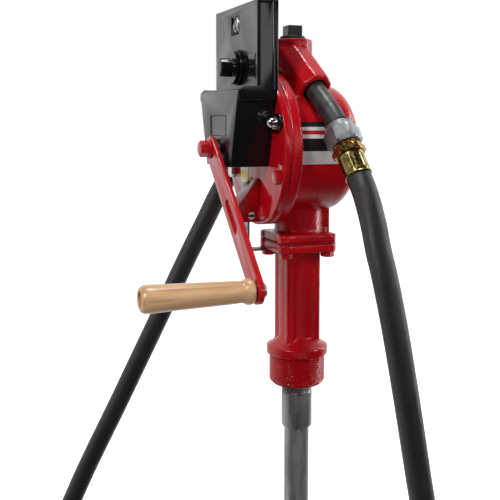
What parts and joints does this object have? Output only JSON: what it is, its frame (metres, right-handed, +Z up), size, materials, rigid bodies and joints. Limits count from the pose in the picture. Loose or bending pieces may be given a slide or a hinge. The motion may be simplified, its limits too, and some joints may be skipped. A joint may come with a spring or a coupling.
{
  "type": "hand drum pump",
  "caption": "Rotary vane hand drum pump with side crank, counter, top nozzle socket, discharge hose, threaded bung adapter and telescoping suction tube.",
  "frame": {"origin": "on the column axis at the underside of its collar, where the bung thread begins", "axes": "+Z up the column, +X towards the nozzle socket, -Y towards the crank and counter"},
  "size_m": [0.4659, 0.4014, 1.1484],
  "materials": {
    "red_casting": "gloss red enamel over a sand casting",
    "red_cover": "gloss red enamel",
    "red_arm": "gloss red enamel on flat steel bar",
    "red_fasteners": "painted over",
    "black_counter": "semi-gloss black moulding",
    "black_plate": "black enamel on sheet",
    "black_knob": "gloss black moulding",
    "lens": "clear window",
    "number_white": "white with black numerals",
    "gear_plastic": "natural nylon",
    "steel_bright": "turned",
    "zinc": "zinc plated",
    "chrome_nuts": "bright plated",
    "tube_steel": "galvanised pipe",
    "spout_steel": "dull grey",
    "foot": "grey moulding",
    "brass": "bright brass",
    "ferrule_brass": "crimped yellow brass",
    "bronze": "sintered bronze",
    "seal_rubber": "black nitrile",
    "hose_rubber": "fabric-wrapped black rubber",
    "rotor_iron": "machined",
    "vane_carbon": "filled carbon",
    "beech": "clear-varnished beech",
    "label": "printed vinyl without lettering"
  },
  "bodies": {
    "pump": {"pump_housing": "red_casting", "front_cover": "red_cover", "cover_gasket": "seal_rubber", "cover_bolts": "red_fasteners", "ear_nuts": "chrome_nuts", "lock_bracket": "red_cover", "brace_strap": "zinc", "column": "red_casting", "flange_gasket": "seal_rubber", "flange_bolts": "red_fasteners", "top_plug": "black_plate", "plug_washer": "seal_rubber", "suction_nipple": "tube_steel", "suction_tube": "tube_steel", "tube_gland": "tube_steel", "outlet_coupling": "brass", "outlet_ferrule": "ferrule_brass", "front_bushing": "bronze", "rear_bushing": "bronze", "shaft_seal": "seal_rubber", "valve_seat": "brass", "strainer_screen": "steel_bright", "counter_housing": "black_counter", "counter_back_plate": "black_plate", "counter_shroud": "black_counter", "counter_screws": "steel_bright", "window_lens": "lens", "knob_boss": "black_counter", "wheel_axle": "steel_bright", "gear_stud": "steel_bright", "cover_label": "label", "barrel_label": "label", "bracket_sticker": "label", "hose": "hose_rubber"},
    "crank": {"crank_arm": "red_arm", "crank_bolt": "red_fasteners", "crank_washer": "red_fasteners", "rotor_shaft": "steel_bright", "rotor": "rotor_iron", "vanes": "vane_carbon", "drive_pinion": "gear_plastic", "grip_spindle": "steel_bright", "spindle_cap": "zinc"},
    "grip": {"wood_grip": "beech"},
    "knob": {"reset_knob": "black_knob"},
    "tenths": {"tenths_wheel": "number_white"},
    "ones": {"ones_wheel": "number_white"},
    "tens": {"tens_wheel": "number_white"},
    "gear": {"counter_gear": "gear_plastic"},
    "nozzle": {"spout": "spout_steel", "spout_ring": "seal_rubber", "swivel_nut": "zinc", "hose_nipple": "brass", "nozzle_ferrule": "ferrule_brass"},
    "lower_tube": {"inner_tube": "tube_steel", "foot_strainer": "foot"},
    "valve": {"inlet_valve": "brass"}
  },
  "joints": [
    {"name": "crank_turn", "type": "hinge", "parent": "pump", "child": "crank", "pos_m": [0, -0.05, 0.2225], "axis": [0, 1, 0], "continuous": true},
    {"name": "grip_spin", "type": "hinge", "parent": "crank", "child": "grip", "pos_m": [0.12804, -0.15, 0.09885], "axis": [0, 1, 0], "continuous": true},
    {"name": "counter_gear_turn", "type": "hinge", "parent": "pump", "child": "gear", "pos_m": [0, -0.077, 0.2475], "axis": [0, 1, 0], "continuous": true},
    {"name": "tenths_turn", "type": "hinge", "parent": "pump", "child": "tenths", "pos_m": [0, -0.0615, 0.348], "axis": [1, 0, 0], "continuous": true},
    {"name": "ones_turn", "type": "hinge", "parent": "pump", "child": "ones", "pos_m": [0, -0.0615, 0.348], "axis": [1, 0, 0], "continuous": true},
    {"name": "tens_turn", "type": "hinge", "parent": "pump", "child": "tens", "pos_m": [0, -0.0615, 0.348], "axis": [1, 0, 0], "continuous": true},
    {"name": "knob_turn", "type": "hinge", "parent": "pump", "child": "knob", "pos_m": [0.008, -0.08, 0.305], "axis": [0, 1, 0], "continuous": true},
    {"name": "nozzle_slide", "type": "slide", "parent": "pump", "child": "nozzle", "axis": [0.7241, 0.1672, -0.6691], "range_m": [0, 0.12], "deforming": ["hose"]},
    {"name": "tube_slide", "type": "slide", "parent": "pump", "child": "lower_tube", "axis": [0, 0, -1], "range_m": [0, 0.368]},
    {"name": "valve_lift", "type": "slide", "parent": "pump", "child": "valve", "axis": [0, 0, 1], "range_m": [0, 0.006]}
  ],
  "couplings": [
    {"joint": "counter_gear_turn", "follows": "crank_turn", "ratio": -0.66667},
    {"joint": "tenths_turn", "follows": "crank_turn", "ratio": 0.1},
    {"joint": "ones_turn", "follows": "crank_turn", "ratio": 0.01},
    {"joint": "tens_turn", "follows": "crank_turn", "ratio": 0.001}
  ]
}
